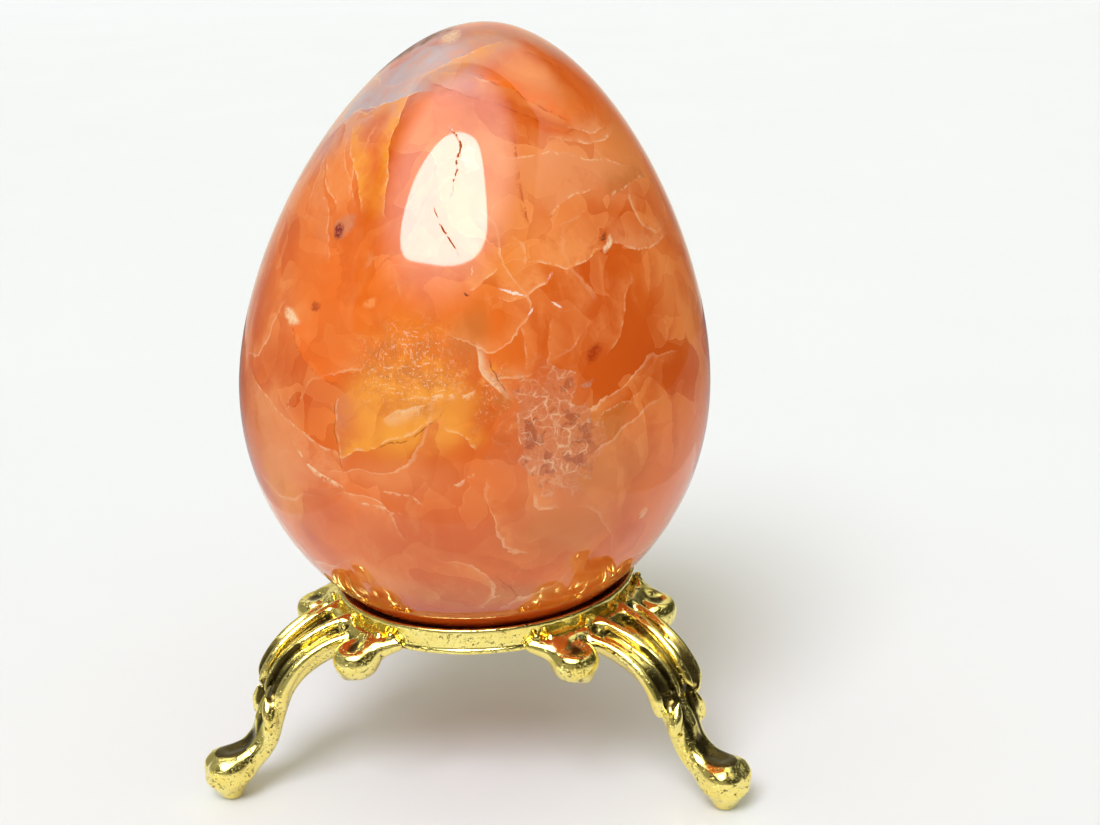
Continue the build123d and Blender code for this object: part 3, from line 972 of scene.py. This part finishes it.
def glow_material(name, middle, inner, outer, strength, faint=0.0):
    """Light that is full within the inner distance of a middle point and faint from the outer one on."""
    graph = Graph(name)
    graph.shader.inputs["Base Color"].default_value = (0.0, 0.0, 0.0, 1.0)
    graph.shader.inputs["Specular IOR Level"].default_value = 0.0
    graph.shader.inputs["Emission Color"].default_value = (1.0, 1.0, 1.0, 1.0)
    gap = graph.vector("DISTANCE", graph.place, middle.tolist())
    graph.feed(graph.shader.inputs["Emission Strength"], graph.span(gap, outer, inner, faint, strength))
    return graph.material


def panel(name, points, material):
    """A flat glowing panel that is seen only in reflections."""
    thing = mesh_object(name, points, [list(range(len(points)))], material)
    thing.visible_camera = False
    thing.visible_diffuse = False
    thing.visible_shadow = False


def window_plane(outline, back):
    """Points of an outline in the window's plane, set back by a distance behind it."""
    facing = np.cross(window_right, window_up)
    return [window_middle + facing * back + window_right * u + window_up * v for u, v in outline]


per_side = 6
looped = window_outline[-1:] + window_outline + window_outline[:2]
closed = curve_through(looped, per_side * (len(looped) - 1) + 1)
window_round = closed[per_side : per_side * (len(looped) - 2)]
window_glow = glow_material("window_glow", window_middle, inner=200, outer=400, strength=15.0)
panel("window_light", window_plane(window_round, 0), window_glow)
dim_outline = [(-480, -380), (520, -380), (520, 520), (-480, 520)]
dim_raise = 80
dim_back = 30
dim_middle = window_middle + dim_raise * window_up
dim_glow = glow_material("dim_glow", dim_middle, inner=230, outer=430, strength=3.4)
panel("dim_panel", window_plane(dim_outline, dim_back), dim_glow)
sheet_reach = 200
sheet_level = -0.5
sheet_signs = ((-1, -1), (1, -1), (1, 1), (-1, 1))
sheet_corners = [(sheet_reach * i, sheet_reach * j, sheet_level) for i, j in sheet_signs]
sheet_glow = glow_material("sheet_glow", ring_axis, inner=70, outer=190, strength=0.65, faint=0.2)
panel("mirrored_sheet", sheet_corners, sheet_glow)

# Key light from the window's side, as from a large soft box far away; it leaves no reflection of its own
key_data = bpy.data.lights.new("key_light", "SUN")
key_data.energy = 1.95
key_data.angle = radians(30)
key_data.color = (0.99, 1.0, 1.14)
key_light = bpy.data.objects.new("key_light", key_data)
key_way = Vector((-0.146, -0.57, 0.809))
key_light.matrix_world = key_way.to_track_quat("Z", "Y").to_matrix().to_4x4()
key_light.visible_glossy = False
bpy.context.scene.collection.objects.link(key_light)

# Surroundings: even for matt surfaces; mirrored, they are bright behind and above and dim elsewhere
world = bpy.data.worlds.new("surroundings")
bpy.context.scene.world = world
world.use_nodes = True
world_tree = world.node_tree
direction = world_tree.nodes.new("ShaderNodeTexCoord")
parts = world_tree.nodes.new("ShaderNodeSeparateXYZ")
world_tree.links.new(direction.outputs["Generated"], parts.inputs[0])


def world_span(socket, low, high, first, last):
    node = world_tree.nodes.new("ShaderNodeMapRange")
    node.interpolation_type = "SMOOTHSTEP"
    world_tree.links.new(socket, node.inputs[0])
    for key, value in {"From Min": low, "From Max": high, "To Min": first, "To Max": last}.items():
        node.inputs[key].default_value = value
    return node.outputs[0]


def world_math(operation, first, second):
    node = world_tree.nodes.new("ShaderNodeMath")
    node.operation = operation
    for key, value in enumerate((first, second)):
        if isinstance(value, bpy.types.NodeSocket):
            world_tree.links.new(value, node.inputs[key])
        else:
            node.inputs[key].default_value = value
    return node.outputs[0]


behind = world_span(parts.outputs["Y"], 0.4, 0.97, 0.0, 0.85)
behind = world_math("MULTIPLY", behind, world_span(parts.outputs["X"], 0.0, 0.45, 1.0, 0.15))
above = world_span(parts.outputs["Z"], 0.58, 0.86, 0.0, 1.2)
beside = world_span(parts.outputs["X"], 0.0, 0.5, 0.28, 0.05)
mirrored = world_math("MAXIMUM", world_math("MAXIMUM", behind, above), beside)
seen_strength = 0.85
matt_strength = 0.68
ray_kind = world_tree.nodes.new("ShaderNodeLightPath")
seen = world_math("MULTIPLY", ray_kind.outputs["Is Camera Ray"], seen_strength)
on_matt = ray_kind.outputs["Is Diffuse Ray"]
off_matt = world_math("SUBTRACT", 1.0, on_matt)
elsewhere = world_math("MULTIPLY", world_math("MAXIMUM", mirrored, seen), off_matt)
strength = world_math("MAXIMUM", elsewhere, world_math("MULTIPLY", on_matt, matt_strength))
world_tree.links.new(strength, world_tree.nodes["Background"].inputs["Strength"])
world_tree.nodes["Background"].inputs["Color"].default_value = (1.0, 0.99, 0.84, 1.0)

# Camera at the photograph's place, height and roll
camera_data = bpy.data.cameras.new("camera")
camera_data.lens = 58.91
camera_data.sensor_width = 36.0
camera_data.sensor_fit = "HORIZONTAL"
camera_data.clip_start = 0.01
camera = bpy.data.objects.new("camera", camera_data)
bpy.context.scene.collection.objects.link(camera)
forward = Vector((-0.1383, 0.9397, -0.3127)).normalized()
right = Vector((0.9904, 0.1285, -0.0518))
right = (right - forward * right.dot(forward)).normalized()
camera_axes = Matrix((right, right.cross(forward), -forward)).transposed()
camera_place = Vector((33.77, -180.06, 95.68)) * mm
camera.matrix_world = Matrix.Translation(camera_place) @ camera_axes.to_4x4()
bpy.context.scene.camera = camera
bpy.context.scene.view_settings.view_transform = "Standard"
